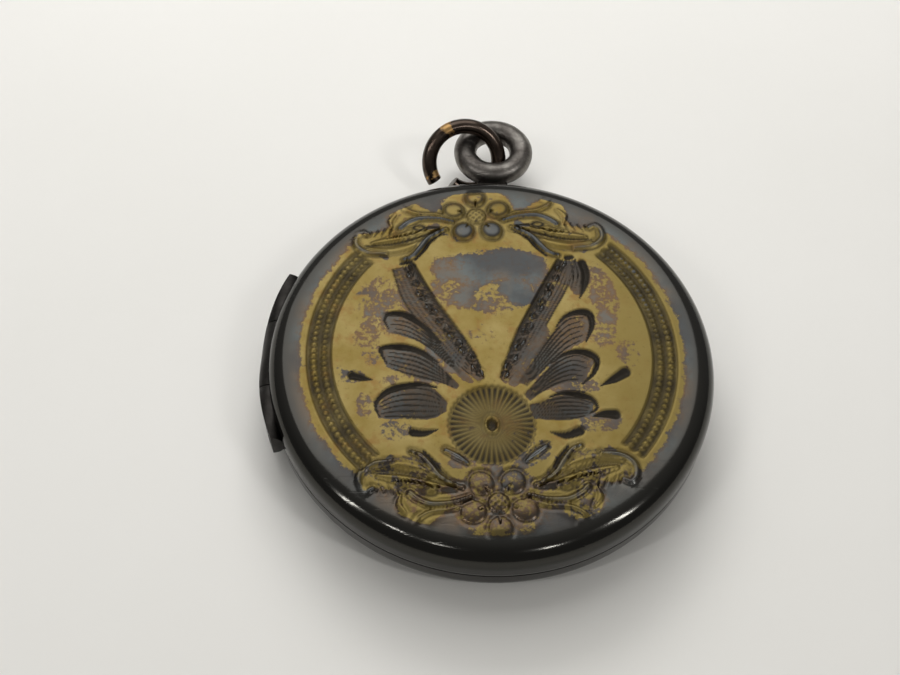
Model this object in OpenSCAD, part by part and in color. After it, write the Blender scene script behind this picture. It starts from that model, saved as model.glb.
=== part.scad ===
// Round photograph locket, engraved and gilded on the front, with a soldered bail and a jump ring.
// Origin: centre of the flat rest field on the back. +Z goes out through the front cover,
// +Y points to the bail and -X to the hinge.

/* [Case] */
// Diameter of the case across the rim
case_d = 32; // [28:0.5:36]
// Height of the parting line above the rest field
parting_z = 2.7; // [2.6:0.05:3.2]
// Height of the straight wall on each half
wall_h = 0.9; // [0.85:0.05:1.2]
// Radius of the rounded shoulder on each half
shoulder_r = 1.6; // [1.4:0.05:1.8]
// Rise of the front cover's crown above its shoulder
crown_h = 0.3; // [0.2:0.05:0.6]
// Thickness of the pressed sheet
sheet_t = 0.45; // [0.35:0.05:0.55]
// Radius of the flat rest field on the back
rest_r = 10; // [8:0.5:12]

/* [Hinge] */
// How far the knuckles stand out from the rim
hinge_proud = 0.7; // [0.5:0.05:0.9]
// Radius of the knuckle barrel
knuckle_r = 1.2; // [1.1:0.05:1.3]
// Radius of the hinge pin
pin_r = 0.25; // [0.2:0.05:0.35]
// Half length of the hinge pin
pin_half = 5.2; // [4.5:0.1:5.2]
// Half length of the whole hinge
hinge_half = 6.9; // [6:0.1:7]
// Half length of the middle knuckle
middle_half = 2.7; // [2:0.1:3.5]

/* [Bail and jump ring] */
// Distance of the bail ring's centre from the case centre
bail_y = 20.55; // [20.4:0.05:20.8]
// Height of the bail ring's centre
bail_z = 2.6; // [2.5:0.05:2.7]
// Radius of the bail ring's centre line
bail_ring_r = 2.35; // [2.3:0.05:2.5]
// Radius of the bail ring's wire
bail_wire_r = 0.875; // [0.7:0.025:0.9]
// Radius of the jump ring's centre line
jump_ring_r = 2.87; // [2.8:0.01:2.9]
// Radius of the jump ring's wire
jump_wire_r = 0.6; // [0.5:0.05:0.6]

/* [Photograph holders] */
// Inner radius of the soldered rims that hold the frames
seat_r = 13.4; // [13:0.1:13.6]
// Visible opening radius of the photograph frames
window_r = 12.3; // [11:0.1:12.5]
// Thickness of the lens discs
lens_t = 0.4; // [0.3:0.05:0.45]

/* [Hidden] */
$fn = 128;

// Fits
solder_gap = 0.01;        // between pieces soldered together along a curved face
hinge_clearance = 0.08;   // around a knuckle that turns in the other half
bore_clearance = 0.05;    // of the pin in the middle knuckle
end_gap = 0.06;           // between neighbouring knuckles
press_gap = 0.02;         // of the frames and discs in their seats

// Case outline
case_r = case_d / 2;
core_r = case_r - shoulder_r;                                   // where shoulder and crown meet
front_wall_z = parting_z + wall_h;
crown_z = front_wall_z + shoulder_r + crown_h;
crown_r = (core_r * core_r + crown_h * crown_h) / (2 * crown_h); // crown sphere
back_wall_z = parting_z - wall_h;
back_edge_z = back_wall_z - shoulder_r;
crown_fn = 720;
edge_bevel = 0.12;        // bevel along both edges of the parting line
below = 1;                // how far cutting shapes run past what they cut

// Hinge
hinge_x = -(case_r + hinge_proud - knuckle_r);
hinge_envelope_r = case_r + hinge_proud;

// Interior, as distances from the parting plane
lip_in_r = 14.55;
lip_out_r = 15;
lip_h = 0.65;             // lip above the parting plane
lip_root = 0.7;           // lip below the parting plane
lip_cut_x = -9;           // the lip stops here, short of the hinge
groove_in_r = 14.3;
groove_out_r = 15.1;
groove_h = 0.8;
frame_h = 0.35;
frame_bead_r = 0.18;
photo_t = 0.2;
backing_t = 0.25;
shelf_t = 0.2;
shelf_r = 12.5;
half_gap = 0.05;          // from the parting plane to each frame
lens_at = half_gap + frame_h;
photo_at = lens_at + lens_t;
backing_at = photo_at + photo_t;
shelf_at = backing_at + backing_t;
rim_top = shelf_at + shelf_t;
disc_r = seat_r - press_gap - 0.08;

// Bail foot
foot_low = 1.4;
foot_high = 2.65;
foot_half = 1.1;
foot_flare = 0.5;
foot_reach = 17.75;       // the foot ends here, under the bail ring's wire

// Jump ring: the plane that it lies in, and its two arcs
jump_centre = [-2.35, 19.65, 2.45];
jump_tilt = 48;
jump_roll = 10.5;
jump_start = 214;         // angle of the free end
jump_sweep = 209;
hook_r = 2.33;            // the closing end is bent in to a tighter arc
hook_sweep = 134;
kink_r = jump_wire_r + 0.02; // slight swelling where the wire is bent tighter
kink_trim = 0.5;          // the arcs stop this many degrees short of each other, inside the swelling

steel_grey = "#4a4442";
gilt = "#a8904c";
card_grey = "#b9b2a2";

// Half section of the front cover's outside, moved in by inset
module front_section(inset) {
    translate([0, parting_z - below]) square([case_r - inset, wall_h + below]);
    translate([0, parting_z - below]) square([core_r, front_wall_z + shoulder_r - inset - parting_z + below]);
    intersection() {
        translate([core_r, front_wall_z]) circle(r = shoulder_r - inset);
        translate([core_r, front_wall_z]) square(case_r);
    }
    intersection() {
        translate([0, crown_z - crown_r]) circle(r = crown_r - inset, $fn = crown_fn);
        translate([0, front_wall_z]) square([core_r, case_r]);
    }
}

// Half section of the back cover's outside, moved in by inset
module back_section(inset) {
    translate([0, back_wall_z]) square([case_r - inset, wall_h + below]);
    translate([0, back_edge_z + inset]) square([core_r, parting_z + below - back_edge_z - inset]);
    intersection() {
        translate([core_r, back_wall_z]) circle(r = shoulder_r - inset);
        translate([core_r, back_wall_z - case_r]) square(case_r);
    }
    polygon([[0, inset], [rest_r, inset], [core_r, back_edge_z + inset], [core_r, parting_z], [0, parting_z]]);
}

// Barrel about the hinge axis between two values of y
module barrel(r, y0, y1) {
    translate([hinge_x, y0, parting_z]) rotate([-90, 0, 0]) cylinder(r = r, h = y1 - y0);
}

// Room in a half for the knuckles: snug for its own, clear for the other half's
module hinge_room(middle_r, outer_r) {
    barrel(middle_r, -middle_half, middle_half);
    barrel(outer_r, middle_half - end_gap, hinge_half + end_gap);
    barrel(outer_r, -hinge_half - end_gap, -middle_half + end_gap);
}

module back_room() { hinge_room(knuckle_r + hinge_clearance, knuckle_r + solder_gap); }
module front_room() { hinge_room(knuckle_r + solder_gap, knuckle_r + hinge_clearance); }

// A knuckle barrel, trimmed to a curve concentric with the rim
module knuckle(y0, y1, bore_r, bore_y0, bore_y1) {
    difference() {
        intersection() {
            barrel(knuckle_r, y0, y1);
            cylinder(r = hinge_envelope_r, h = crown_z);
        }
        barrel(bore_r, bore_y0, bore_y1);
    }
}

// Section of a soldered rim with its seat and shelf; side is 1 in the front half, -1 in the back half
module rim_section(side) {
    z = [0, groove_h, shelf_at, rim_top];
    outer = case_r - sheet_t - solder_gap;
    points = side > 0
        ? [[seat_r, half_gap], [groove_in_r, half_gap], [groove_in_r, z[1]], [groove_out_r, z[1]],
           [groove_out_r, z[0]], [outer, z[0]], [outer, z[3]], [shelf_r, z[3]], [shelf_r, z[2]], [seat_r, z[2]]]
        : [[seat_r, half_gap], [lip_in_r - solder_gap, half_gap], [lip_in_r - solder_gap, lip_root],
           [lip_out_r + solder_gap, lip_root], [lip_out_r + solder_gap, z[0]], [outer, z[0]], [outer, z[3]],
           [shelf_r, z[3]], [shelf_r, z[2]], [seat_r, z[2]]];
    translate([0, parting_z]) polygon([for (p = points) [p[0], side * p[1]]]);
}

// Flat disc in one half, from a distance off the parting plane
module disc_piece(side, at, t) {
    translate([0, 0, parting_z + (side > 0 ? at : -at - t)]) cylinder(r = disc_r, h = t);
}

// Photograph frame: a press-in ring with a rounded inner bead
module frame_piece(side) {
    z0 = parting_z + (side > 0 ? half_gap : -half_gap - frame_h);
    rotate_extrude() {
        translate([window_r + frame_bead_r, z0]) square([seat_r - press_gap - window_r - frame_bead_r, frame_h]);
        translate([window_r + frame_bead_r, z0 + frame_h / 2]) circle(r = frame_h / 2, $fn = 32);
    }
}

module back_cover() {
    color(steel_grey) difference() {
        rotate_extrude() difference() {
            back_section(0);
            back_section(sheet_t);
            translate([0, parting_z]) square([case_d, below * 2]);
            translate([case_r, parting_z]) rotate(45) square(edge_bevel, center = true);
        }
        back_room();
    }
}

module back_rim() {
    color(steel_grey) difference() {
        rotate_extrude() intersection() {
            rim_section(-1);
            back_section(sheet_t + solder_gap);
        }
        back_room();
    }
}

module snap_lip() {
    color(steel_grey) difference() {
        translate([0, 0, parting_z - lip_root]) difference() {
            cylinder(r = lip_out_r, h = lip_root + lip_h);
            translate([0, 0, -below]) cylinder(r = lip_in_r, h = lip_root + lip_h + 2 * below);
        }
        translate([lip_cut_x - case_d, -case_r, 0]) cube([case_d, case_d, 2 * parting_z]);
    }
}

module knuckle_bail_side() {
    color(steel_grey) knuckle(middle_half + end_gap / 2, hinge_half, pin_r + solder_gap, middle_half - below, pin_half);
}

module knuckle_far_side() {
    color(steel_grey) knuckle(-hinge_half, -middle_half - end_gap / 2, pin_r + solder_gap, -pin_half, below - middle_half);
}

module hinge_pin() {
    color("silver") barrel(pin_r, -pin_half + end_gap, pin_half - end_gap);
}

module bail_foot() {
    color(steel_grey) difference() {
        translate([0, 0, foot_low]) linear_extrude(foot_high - foot_low)
            polygon([[-foot_half - foot_flare, case_r - foot_flare], [foot_half + foot_flare, case_r - foot_flare],
                     [foot_half, foot_reach], [-foot_half, foot_reach]]);
        cylinder(r = case_r + solder_gap, h = crown_z);
        bail_torus(bail_wire_r + solder_gap);
    }
}

module bail_torus(r) {
    translate([0, bail_y, bail_z]) rotate_extrude() translate([bail_ring_r, 0]) circle(r = r, $fn = 64);
}

module bail_ring() {
    color(steel_grey) bail_torus(bail_wire_r);
}

module back_backing_card() { color(card_grey) disc_piece(-1, backing_at, backing_t); }
module back_photo_card() { color("white") disc_piece(-1, photo_at, photo_t); }
module back_lens() { color("lightcyan", 0.4) disc_piece(-1, lens_at, lens_t); }
module back_frame() { color(gilt) frame_piece(-1); }

module front_cover() {
    color(gilt) difference() {
        rotate_extrude() difference() {
            front_section(0);
            front_section(sheet_t);
            translate([0, parting_z - 2 * below]) square([case_d, below * 2]);
            translate([case_r, parting_z]) rotate(45) square(edge_bevel, center = true);
        }
        front_room();
    }
}

module front_rim() {
    color(steel_grey) difference() {
        rotate_extrude() intersection() {
            rim_section(1);
            front_section(sheet_t + solder_gap);
        }
        front_room();
    }
}

module knuckle_middle() {
    color(steel_grey) knuckle(-middle_half + end_gap / 2, middle_half - end_gap / 2, pin_r + bore_clearance,
                              -middle_half - below, middle_half + below);
}

module front_backing_card() { color(card_grey) disc_piece(1, backing_at, backing_t); }
module front_photo_card() { color("white") disc_piece(1, photo_at, photo_t); }
module front_lens() { color("lightcyan", 0.4) disc_piece(1, lens_at, lens_t); }
module front_frame() { color(gilt) frame_piece(1); }

// Arc of wire from angle a, sweeping clockwise
module wire_arc(r, a, sweep) {
    rotate(a - sweep) rotate_extrude(angle = sweep) translate([r, 0]) circle(r = jump_wire_r, $fn = 64);
}

module jump_ring() {
    join = jump_start - jump_sweep;
    hook_centre = (jump_ring_r - hook_r) * [cos(join), sin(join), 0];
    color(steel_grey) translate(jump_centre) rotate([jump_tilt, 0, 0]) rotate([0, jump_roll, 0]) {
        wire_arc(jump_ring_r, jump_start, jump_sweep - kink_trim);
        rotate(join) translate([jump_ring_r, 0, 0]) sphere(r = kink_r, $fn = 64);
        translate(hook_centre) wire_arc(hook_r, join - kink_trim, hook_sweep - kink_trim);
    }
}

back_cover();
back_rim();
snap_lip();
knuckle_bail_side();
knuckle_far_side();
hinge_pin();
bail_foot();
bail_ring();
back_backing_card();
back_photo_card();
back_lens();
back_frame();
front_cover();
front_rim();
knuckle_middle();
front_backing_card();
front_photo_card();
front_lens();
front_frame();
jump_ring();
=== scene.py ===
import math

import bpy
import numpy as np
from mathutils import Matrix


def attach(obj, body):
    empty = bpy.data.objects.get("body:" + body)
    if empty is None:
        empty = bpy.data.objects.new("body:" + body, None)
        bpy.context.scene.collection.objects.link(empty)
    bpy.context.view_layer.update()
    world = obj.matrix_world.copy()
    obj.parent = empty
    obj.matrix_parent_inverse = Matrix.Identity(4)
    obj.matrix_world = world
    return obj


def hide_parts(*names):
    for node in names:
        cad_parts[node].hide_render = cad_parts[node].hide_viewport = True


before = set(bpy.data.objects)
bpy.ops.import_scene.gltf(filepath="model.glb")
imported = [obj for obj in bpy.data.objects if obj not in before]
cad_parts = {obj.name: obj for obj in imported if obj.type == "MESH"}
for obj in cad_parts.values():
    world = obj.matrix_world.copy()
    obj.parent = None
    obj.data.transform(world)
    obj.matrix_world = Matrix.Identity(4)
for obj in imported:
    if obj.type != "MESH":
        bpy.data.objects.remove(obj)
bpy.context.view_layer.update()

MM = 0.001

# ---------------------------------------------------------------- sizes, in millimetres
CASE_R = 16.0
PARTING_Z = 2.7
WALL_H = 0.9
SHOULDER_R = 1.6
CROWN_H = 0.3
SHEET = 0.45
EDGE_BEVEL = 0.12 / math.sqrt(2)
CORE_R = CASE_R - SHOULDER_R
REST_R = 10.0
BACK_RISE = 0.2          # of the back between its rest field and its shoulder
SOLDERED = 0.01          # gap between pieces soldered together
RIM_OUT_R = CASE_R - SHEET - SOLDERED
SEAT_R = 13.4            # of the frames, glasses and cards in the rims
LEDGE_R = 12.5           # opening of the ledge behind the backing cards
LEDGE_H = 1.25
HINGE_X = -15.5
HINGE_OUT_R = 16.7
KNUCKLE_R = 1.2
TURNING = 0.08           # gap round a knuckle that turns in the other half
MIDDLE_HALF = 2.7
HINGE_HALF = 6.9
END_GAP = 0.06
BAIL_Y = 20.55
BAIL_Z = 2.6
BAIL_R = 2.28
BAIL_WIRE_R = 0.935
BAIL_FOOT = (0, 16.65, 2.025)
JUMP_R = 2.87
JUMP_WIRE_R = 0.6
PATTERN_TURN = math.radians(4.5)   # the stamped pattern sits a little askew to the bail


# ---------------------------------------------------------------- modelling helpers
def only(obj):
    """Leaves obj alone selected and active."""
    bpy.ops.object.select_all(action="DESELECT")
    obj.select_set(True)
    bpy.context.view_layer.objects.active = obj


def settle(obj):
    """Puts the object's place into its mesh, so that the object sits at the origin unturned and unscaled."""
    only(obj)
    bpy.ops.object.transform_apply(location=True, rotation=True, scale=True)


def primitive(name, operator, **settings):
    """Adds a primitive as a new piece."""
    bpy.ops.object.select_all(action="DESELECT")
    operator(**settings)
    obj = bpy.context.active_object
    obj.name = obj.data.name = name
    settle(obj)
    return obj


def edit_all():
    bpy.ops.object.mode_set(mode="EDIT")
    bpy.ops.mesh.select_all(action="SELECT")


def outward(obj):
    """Merges doubles and points all faces outwards."""
    only(obj)
    edit_all()
    bpy.ops.mesh.remove_doubles(threshold=1e-7)
    bpy.ops.mesh.normals_make_consistent(inside=False)
    bpy.ops.object.mode_set(mode="OBJECT")


def smooth(obj, degrees=35):
    only(obj)
    bpy.ops.object.shade_smooth_by_angle(angle=math.radians(degrees))


def turned(name, profile, capped=False, segments=256):
    """A piece turned on the case's axis: a ring of wire is extruded from point to point of the profile,
    a list of (radius, height) in mm, and back to its start, or capped flat at both ends."""
    radius, height = profile[0]
    obj = primitive(name, bpy.ops.mesh.primitive_circle_add,
                    vertices=segments, radius=radius * MM, location=(0, 0, height * MM))
    edit_all()
    for next_radius, next_height in profile[1:] + ([] if capped else [profile[0]]):
        bpy.ops.mesh.extrude_edges_move()
        scale = next_radius / radius
        bpy.ops.transform.resize(value=(scale, scale, 1), center_override=(0, 0, height * MM))
        bpy.ops.transform.translate(value=(0, 0, (next_height - height) * MM))
        radius, height = next_radius, next_height
    if capped:
        bpy.ops.mesh.select_all(action="SELECT")
        bpy.ops.mesh.fill_holes(sides=0)
    bpy.ops.object.mode_set(mode="OBJECT")
    outward(obj)
    return obj


def apply_modifier(obj, kind, **settings):
    only(obj)
    mod = obj.modifiers.new(kind.title(), kind)
    for key, value in settings.items():
        setattr(mod, key, value)
    bpy.ops.object.modifier_apply(modifier=mod.name)


def round_edges(obj, width, segments, angle):
    """Rounds every edge sharper than an angle in degrees. The width is in mm."""
    apply_modifier(obj, "BEVEL", width=width * MM, segments=segments, limit_method="ANGLE",
                   angle_limit=math.radians(angle))


def cut(obj, cutter, operation="DIFFERENCE"):
    """Cuts obj with a closed shape, which is then thrown away."""
    apply_modifier(obj, "BOOLEAN", object=cutter, operation=operation, solver="MANIFOLD")
    bpy.data.objects.remove(cutter)


def barrel(name, radius, y0, y1, segments=96):
    """A cylinder along the hinge axis."""
    return primitive(name, bpy.ops.mesh.primitive_cylinder_add,
                     vertices=segments, radius=radius * MM, depth=(y1 - y0) * MM, rotation=(math.pi / 2, 0, 0),
                     location=(HINGE_X * MM, (y0 + y1) / 2 * MM, PARTING_Z * MM))


def cut_hinge_room(obj, middle_r, outer_r):
    """The notch that a half leaves for the knuckles."""
    for radius, y0, y1 in (
        (middle_r, -MIDDLE_HALF, MIDDLE_HALF),
        (outer_r, MIDDLE_HALF - END_GAP, HINGE_HALF + END_GAP),
        (outer_r, -HINGE_HALF - END_GAP, -MIDDLE_HALF + END_GAP),
    ):
        cut(obj, barrel("cutter", radius, y0, y1))


def arc(centre, radius, start, end, steps):
    """Points on an arc of the profile plane, angles in degrees."""
    return [
        (centre[0] + radius * math.cos(math.radians(a)), centre[1] + radius * math.sin(math.radians(a)))
        for a in np.linspace(start, end, steps)
    ]


def coat(mesh, material):
    mesh.materials.clear()
    mesh.materials.append(material)


def place(obj, body, node, material):
    """Rides the piece on its body in place of a CAD node, with its finish."""
    coat(obj.data, material)
    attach(obj, body)
    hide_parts(node)
    return obj


# ---------------------------------------------------------------- the stamped and engraved pattern
def curve(points, per=10):
    """A smooth line through the points."""
    p = np.array(points, float)
    if len(p) < 3:
        return p
    ends = np.vstack([2 * p[0] - p[1], p, 2 * p[-1] - p[-2]])
    out = []
    for i in range(1, len(ends) - 2):
        a, b, c, d = ends[i - 1:i + 3]
        for t in np.linspace(0, 1, per, endpoint=False):
            out.append(0.5 * (2 * b + (c - a) * t + (2 * a - 5 * b + 4 * c - d) * t * t
                              + (3 * b - a - 3 * c + d) * t ** 3))
    out.append(p[-1])
    return np.array(out)


def spaced(line, count):
    """The line again, as evenly spaced points."""
    run = np.concatenate([[0], np.cumsum(np.hypot(*np.diff(line, axis=0).T))])
    at = np.linspace(0, run[-1], count)
    return np.stack([np.interp(at, run, line[:, 0]), np.interp(at, run, line[:, 1])], 1)


def step(x, low, high):
    """Rises smoothly from 0 at low to 1 at high."""
    t = np.clip((x - low) / (high - low), 0, 1)
    return t * t * (3 - 2 * t)


def line_at(distance, width):
    """A soft line where the distance is nought."""
    return np.exp(-((distance / width) ** 2))


class Relief:
    """Heights and finish masks over the front, worked out at points (u, v) in mm in the pattern's frame."""

    def __init__(self, u, v):
        self.u, self.v = u, v
        self.height = np.zeros_like(u)
        self.gild = np.zeros_like(u)     # above a half the gilding is whole, below it is worn through
        self.recess = np.zeros_like(u)   # dirt and dark tarnish lying in cuts and around raised work
        self.rub = np.zeros_like(u)      # bare metal on the tops of raised work

    def near(self, path, reach):
        """The points in the box round a path."""
        low, high = path.min(0) - reach, path.max(0) + reach
        return np.nonzero((self.u > low[0]) & (self.u < high[0]) & (self.v > low[1]) & (self.v < high[1]))[0]

    def measure(self, path, reach):
        """For the points near a path: which they are, how far off, and how far along from 0 to 1."""
        path = np.array(path, float)
        at = self.near(path, reach)
        best = np.full(len(at), 1e9)
        along = np.zeros(len(at))
        if len(at) == 0:
            return at, best, along
        x, y = self.u[at], self.v[at]
        seg = np.diff(path, axis=0)
        length = np.hypot(seg[:, 0], seg[:, 1])
        run = np.concatenate([[0], np.cumsum(length)])
        for (px, py), (dx, dy), ln, r in zip(path[:-1], seg, length, run):
            if ln < 1e-9:
                continue
            t = np.clip(((x - px) * dx + (y - py) * dy) / (ln * ln), 0, 1)
            d = np.hypot(x - px - t * dx, y - py - t * dy)
            closer = d < best
            best[closer] = d[closer]
            along[closer] = (r + t[closer] * ln) / run[-1]
        return at, best, along

    def inside(self, outline):
        """Signed distance into a closed outline, positive inside, for the points near it."""
        closed = np.vstack([outline, outline[:1]])
        at, dist, _ = self.measure(closed, 1.2)
        x, y = self.u[at], self.v[at]
        odd = np.zeros(len(at), bool)
        for (x0, y0), (x1, y1) in zip(closed[:-1], closed[1:]):
            if y0 == y1:
                continue
            crosses = ((y0 > y) != (y1 > y)) & (x < (x1 - x0) * (y - y0) / (y1 - y0) + x0)
            odd ^= crosses
        return at, np.where(odd, dist, -dist)

    def ridge(self, points, widths, high, rub=0.8, outline=0.16, dirt=0.55):
        """A raised line: half widths at its start, middle and end."""
        at, d, t = self.measure(curve(points), max(widths) + outline * 2 + 0.2)
        w = np.interp(t, [0, 0.5, 1], widths)
        q = d / w
        bump = high * np.cos(np.clip(q, 0, 1) * math.pi / 2) ** 1.2
        moat = line_at(d - w - outline * 0.5, outline * 0.7)
        raised = q < 1
        self.height[at] = np.where(raised, np.maximum(self.height[at], bump), self.height[at] - 0.05 * moat)
        self.recess[at] = np.where(raised, self.recess[at] * (1 - step(1 - q, 0, 0.5)), self.recess[at])
        self.recess[at] = np.maximum(self.recess[at], dirt * moat)
        self.rub[at] = np.maximum(self.rub[at], rub * step(1 - q, 0.1, 0.5))

    def groove(self, points, widths, deep, dirt=1.0):
        """A cut line with a V section: half widths at its start, middle and end."""
        at, d, t = self.measure(curve(points), max(widths) + 0.1)
        w = np.maximum(np.interp(t, [0, 0.5, 1], widths), 0.02)
        q = np.clip(1 - d / w, 0, 1)
        cut_to = self.height[at] * (1 - step(q, 0, 0.3)) - deep * q * w / max(widths)
        self.height[at] = np.minimum(self.height[at], cut_to)
        self.recess[at] = np.maximum(self.recess[at], dirt * step(q, 0.0, 0.35))
        self.rub[at] *= 1 - step(q, 0, 0.3)

    def dome(self, centre, radii, turn, high, rub=0.5, outline=0.18, dirt=0.6):
        """A raised round boss, such as a petal."""
        c, s = math.cos(turn), math.sin(turn)
        at = self.near(np.array([centre, centre], float), max(radii) + 0.6)
        x, y = self.u[at] - centre[0], self.v[at] - centre[1]
        a, b = (x * c + y * s) / radii[0], (-x * s + y * c) / radii[1]
        q = np.hypot(a, b)
        bump = high * np.sqrt(np.clip(1 - q * q, 0, 1))
        moat = line_at((q - 1) * min(radii) - outline * 0.4, outline * 0.6)
        raised = q < 1
        self.height[at] = np.where(raised, np.maximum(self.height[at], bump), self.height[at] - 0.06 * moat)
        self.recess[at] = np.where(raised, self.recess[at] * 0.2, self.recess[at])
        self.recess[at] = np.maximum(self.recess[at], dirt * moat)
        self.rub[at] = np.maximum(self.rub[at], rub * step(1 - q, 0.05, 0.35))
        return at, a, b, q

    def fill(self, outline, gild=None, depth=0.0, soft=0.12, recess=None):
        """Sets gilding and dirt inside a closed outline, and moves the ground there."""
        at, d = self.inside(np.array(outline, float))
        k = step(d, -soft, soft)
        if gild is not None:
            self.gild[at] = self.gild[at] * (1 - k) + gild * k
        if recess is not None:
            level = recess[at] if isinstance(recess, np.ndarray) else recess
            self.recess[at] = self.recess[at] * (1 - k) + level * k
        self.height[at] += depth * k


AXIS_U = -0.3                 # the garlands' own centre line
FLOWER_V = 11.9               # centre of each garland's flower, above and below the case centre
ROSETTE = (-0.45, -6.15)
ROSETTE_R = 2.95
FLUTES = 42
BAND_R = 12.3                 # middle of the beaded side bands
BEAD_PITCH = 0.46
SCALLOP = 0.72                # pitch of the bright-cut scallops down the arms
RELIEF_TOP = 5.6              # the highest work is rubbed down to one level


def garland(r, side, up, whole):
    """Half of a garland: side is 1 on the right, up is 1 at the bail and -1 at the foot. whole is how well its
    gilding is kept. The foot is rubbed less bare of tarnish."""
    def at(points):
        return [(AXIS_U + side * m, up * v) for m, v in points]

    bare = 1.0 if up > 0 else 0.55
    leaf = curve(at([(2.0, 11.2), (3.6, 10.7), (5.2, 11.2), (6.6, 11.2), (7.4, 10.7), (8.5, 10.6), (9.2, 10.5),
                     (9.45, 9.5), (8.6, 8.5), (7.0, 8.3), (5.6, 7.9), (4.4, 8.3), (3.2, 9.8)]), 6)
    r.fill(leaf, gild=whole, depth=0.05, soft=0.3)
    upper = curve(at([(1.8, 12.2), (3.6, 12.6), (5.4, 13.6), (6.5, 13.0), (6.8, 11.6), (5.4, 10.8),
                      (3.4, 11.0)]), 6)
    r.fill(upper, gild=whole, depth=0.03, soft=0.3)
    r.ridge(at([(2.5, 10.7), (4.6, 10.5), (6.6, 9.9), (8.0, 9.6)]), (0.25, 0.7, 0.2), 0.16, rub=0.15, dirt=0.3)
    r.ridge(at([(3.6, 9.9), (5.4, 9.1), (7.0, 8.8), (8.4, 9.1)]), (0.2, 0.42, 0.2), 0.14, rub=0.1, dirt=0.5)
    r.groove(at([(2.4, 10.95), (4.4, 10.1), (6.5, 9.5), (8.5, 9.4)]), (0.05, 0.13, 0.06), 0.12, dirt=0.85)
    r.groove(at([(3.9, 10.7), (5.6, 10.2), (7.0, 10.0)]), (0.05, 0.1, 0.04), 0.08, dirt=0.7)
    for m in (6.5, 7.05, 7.6, 8.15):
        r.groove(at([(m, 11.1 - 0.25 * (m - 6.5)), (m + 0.35, 10.2)]), (0.12, 0.08, 0.03), 0.12, dirt=0.6)
    r.ridge(at([(7.1, 8.55), (8.4, 8.75), (9.2, 9.4), (9.25, 10.2), (8.85, 10.7), (8.35, 10.5)]),
            (0.16, 0.3, 0.2), 0.2, rub=0.55)
    r.ridge(at([(1.8, 11.7), (3.1, 12.15), (4.5, 12.3), (5.4, 12.75), (5.7, 13.2), (5.1, 13.35)]),
            (0.16, 0.2, 0.16), 0.15, rub=0.35)
    r.ridge(at([(1.9, 11.4), (3.1, 11.75), (4.5, 11.8), (5.4, 11.4), (5.9, 10.95)]),
            (0.14, 0.26, 0.3), 0.22, rub=0.9 * bare)
    r.ridge(at([(6.2, 12.35), (6.65, 11.7), (6.5, 11.0)]), (0.1, 0.24, 0.08), 0.1, rub=0.0, dirt=0.3)
    r.ridge(at([(2.7, 10.6), (3.8, 9.95), (4.5, 9.0), (5.1, 8.25), (5.75, 7.95)]),
            (0.1, 0.3, 0.16), 0.22, rub=bare)
    r.groove(at([(2.9, 10.25), (3.7, 9.6), (4.2, 8.8), (4.9, 7.95)]), (0.08, 0.16, 0.1), 0.14)
    r.dome((AXIS_U + side * 4.5, up * 10.95), (0.3, 0.2), 0, -0.1, rub=0, dirt=1)


def flower(r, up):
    """Five domed petals round a pitted centre."""
    u0, v0 = AXIS_U - 0.1, up * FLOWER_V
    ground = [(u0 + 3.0 * math.cos(a), v0 + 3.05 * math.sin(a)) for a in np.linspace(0, math.tau, 24)[:-1]]
    r.fill(np.array(ground), gild=1.25 if up > 0 else 0.3, depth=0.02, soft=0.35)
    high, ring = (0.25, 0.75) if up > 0 else (0.15, 0.5)
    for k in range(5):
        angle = math.pi / 2 + k * math.tau / 5
        c, s = math.cos(angle), up * math.sin(angle)
        worn = 0.85 if up > 0 and s < -0.5 else 0.3     # the lower two petals at the bail stand proudest
        at, _, _, q = r.dome((u0 + 1.8 * c, v0 + 1.8 * s), (0.86, 0.8), math.atan2(s, c), high, rub=worn,
                             outline=0.22)
        r.recess[at] = np.maximum(r.recess[at], ring * line_at(q - 0.74, 0.17))
        r.groove([(u0 + 0.8 * c, v0 + 0.8 * s), (u0 + 1.5 * c, v0 + 1.5 * s)], (0.1, 0.08, 0.03), 0.08, dirt=0.4)
    at, a, b, q = r.dome((u0, v0), (0.72, 0.72), 0, 0.2, rub=0.0, dirt=0.5)
    pits = (np.cos(a * 9) * np.cos(b * 9) > 0.2) & (q < 0.9)
    r.height[at] -= 0.05 * pits
    r.recess[at] = np.maximum(r.recess[at], 0.55 * (q < 1) * (0.4 + 0.6 * pits))


def rosette(r):
    """The sunburst of radiating flutes with a raised, pitted eye."""
    u, v = r.u - ROSETTE[0], r.v - ROSETTE[1]
    d, a = np.hypot(u, v), np.arctan2(v, u)
    wave = 0.5 + 0.5 * np.cos(a * FLUTES)
    rim = ROSETTE_R - 0.1 * (1 - wave)
    k = step(rim - d, -0.06, 0.06)
    r.gild = r.gild * (1 - k) + 1.3 * k
    r.height = r.height * (1 - k) + k * (-0.06 - 0.09 * step(d, 0.9, 2.6) * (1 - wave) - 0.03 * np.cos(d * 1.6))
    cutting = step(d, 1.2, 2.9) * (1 - wave) ** 1.5
    r.recess = r.recess * (1 - k) + k * np.clip(0.6 + 0.4 * cutting - 0.14 * wave, 0, 1)
    r.rub *= 1 - k
    edge = line_at(d - rim - 0.08, 0.09)
    r.height -= 0.05 * edge * (1 - k)
    r.recess = np.maximum(r.recess, 0.55 * edge)
    eye = np.hypot(u / 0.34, v / 0.46)
    lip = line_at(eye - 1.25, 0.28)
    hole = step(1.0 - eye, -0.1, 0.35)
    r.height += 0.13 * lip - 0.22 * hole
    r.recess = np.clip(r.recess - 0.35 * lip + 0.35 * hole, 0, 1)
    r.recess = np.maximum(r.recess, 0.62 * line_at(eye - 2.2, 0.4))


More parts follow.
